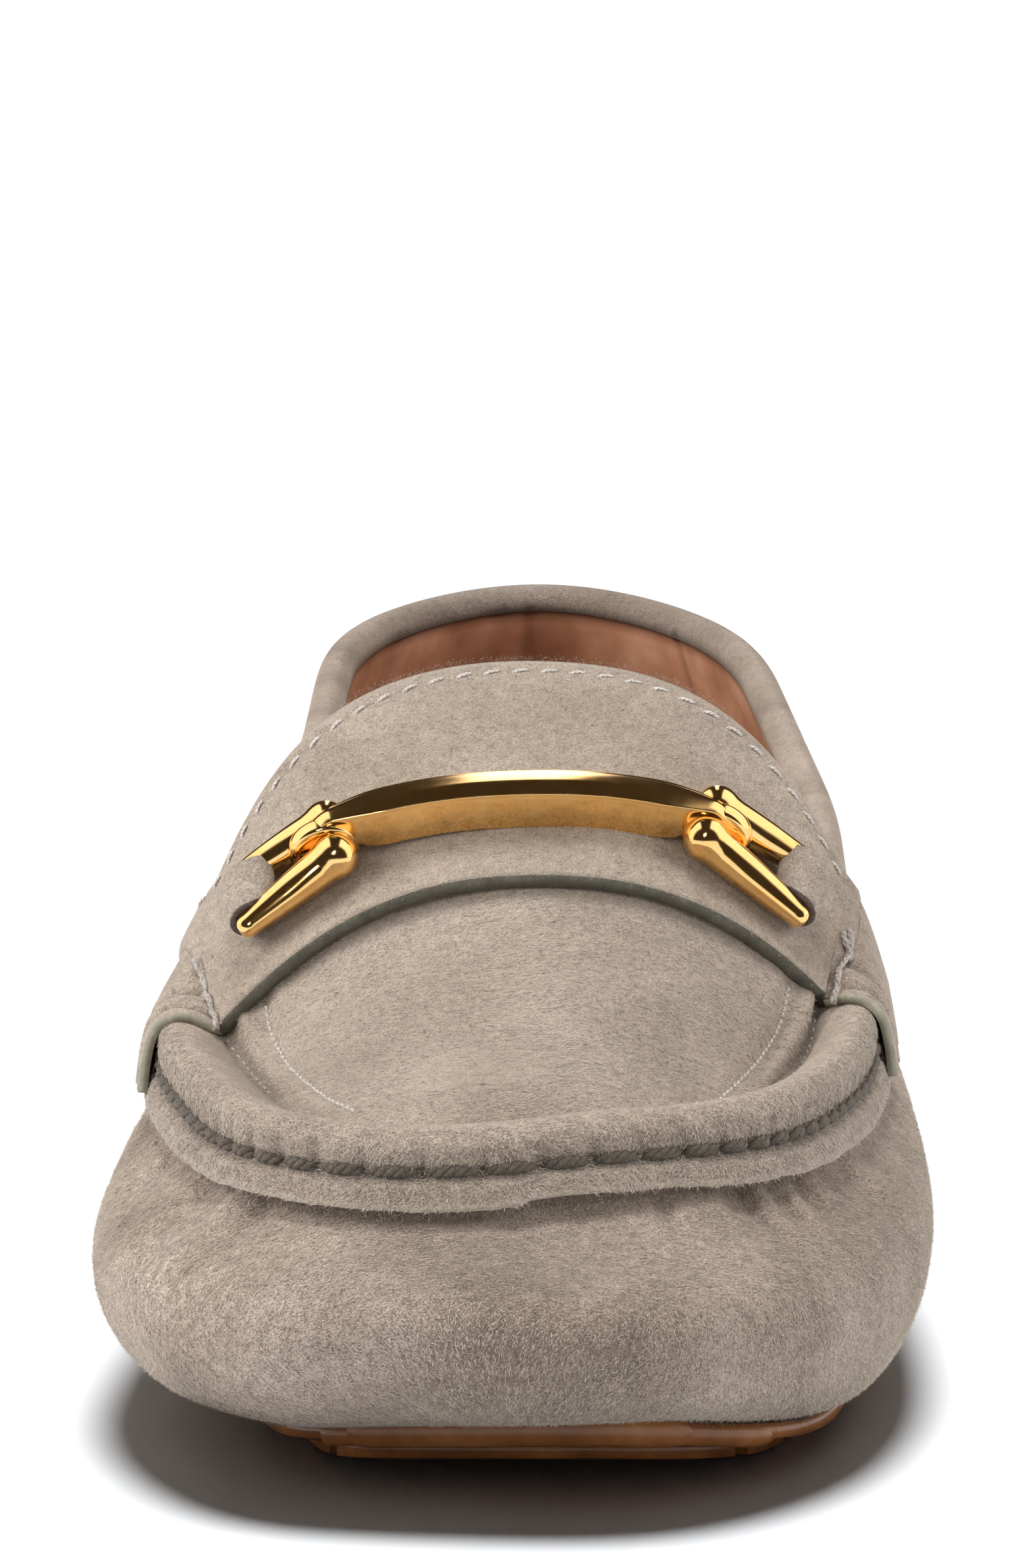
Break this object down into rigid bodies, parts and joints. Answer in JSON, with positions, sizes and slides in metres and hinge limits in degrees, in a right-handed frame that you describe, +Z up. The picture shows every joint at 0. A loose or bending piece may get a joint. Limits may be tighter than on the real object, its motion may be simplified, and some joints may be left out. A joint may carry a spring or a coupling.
{
  "type": "loafer",
  "caption": "Left suede driving loafer with a hand-sewn apron, a saddle strap, a snaffle bit and a thin rubber sole.",
  "frame": {"origin": "middle of the shoe's length and width, on the floor", "axes": "+Z up from the floor, +Y towards the heel, +X towards the little toe's side"},
  "size_m": [0.1052, 0.2796, 0.0855],
  "materials": {
    "suede": "napped taupe suede",
    "sock_leather": "smooth copper-brown lining leather",
    "gum_rubber": "smooth tan rubber",
    "gold_metal": "polished gold-tone plate"
  },
  "bodies": {
    "root": {"upper": "suede", "apron": "suede", "saddle_strap": "suede", "keeper_medial": "suede", "keeper_lateral": "suede", "insole": "sock_leather", "outsole": "gum_rubber", "bit_bar": "gold_metal", "stirrup_medial": "gold_metal", "stirrup_lateral": "gold_metal"}
  },
  "joints": []
}
